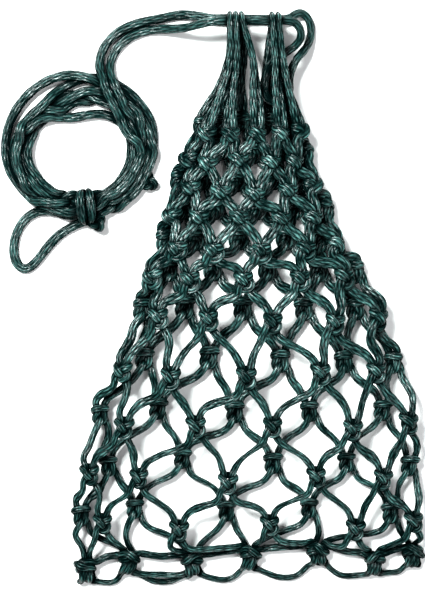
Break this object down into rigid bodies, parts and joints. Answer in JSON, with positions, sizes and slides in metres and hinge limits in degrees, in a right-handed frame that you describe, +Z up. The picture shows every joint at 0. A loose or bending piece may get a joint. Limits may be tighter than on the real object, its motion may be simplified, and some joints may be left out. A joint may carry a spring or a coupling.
{
  "type": "cast net",
  "caption": "Hand-knotted tapered net bag of braided twine with a drawstring mouth, a laced bottom and a coiled hand line.",
  "frame": {"origin": "on the ground under the middle of the net bag, measured without the drawstring and hand line", "axes": "+Y along the net towards its mouth, +X to the right, +Z up from the ground that the net lies on"},
  "size_m": [0.2509, 0.3467, 0.0287],
  "materials": {
    "netting_twine": "glossy braided plastic twine",
    "closing_twine": "glossy braided plastic twine",
    "hand_line": "glossy braided plastic cord"
  },
  "bodies": {
    "net": {"mouth_eyes_front": "netting_twine", "mouth_eyes_back": "netting_twine", "mouth_legs_front": "netting_twine", "mouth_legs_back": "netting_twine", "mesh_row_1": "netting_twine", "mesh_row_2": "netting_twine", "mesh_row_3": "netting_twine", "mesh_row_4": "netting_twine", "mesh_row_5": "netting_twine", "mesh_row_6": "netting_twine", "mesh_row_7": "netting_twine", "mesh_row_8": "netting_twine", "mesh_row_9": "netting_twine", "mesh_row_10": "netting_twine", "mesh_row_11": "netting_twine", "closing_legs": "netting_twine", "closing_knots": "closing_twine", "closing_line": "closing_twine", "closing_bights": "netting_twine"},
    "drawstring": {"drawstring": "hand_line", "hand_line_upper": "hand_line", "hand_line_lower": "hand_line", "hand_line_coil": "hand_line", "coil_tie": "hand_line", "coil_tie_knot": "hand_line", "line_end_knot": "hand_line", "wrist_loop": "hand_line"}
  },
  "joints": [
    {"name": "drawstring_slide", "type": "slide", "parent": "net", "child": "drawstring", "axis": [1, 0, 0], "range_m": [-0.004, 0.008]}
  ]
}
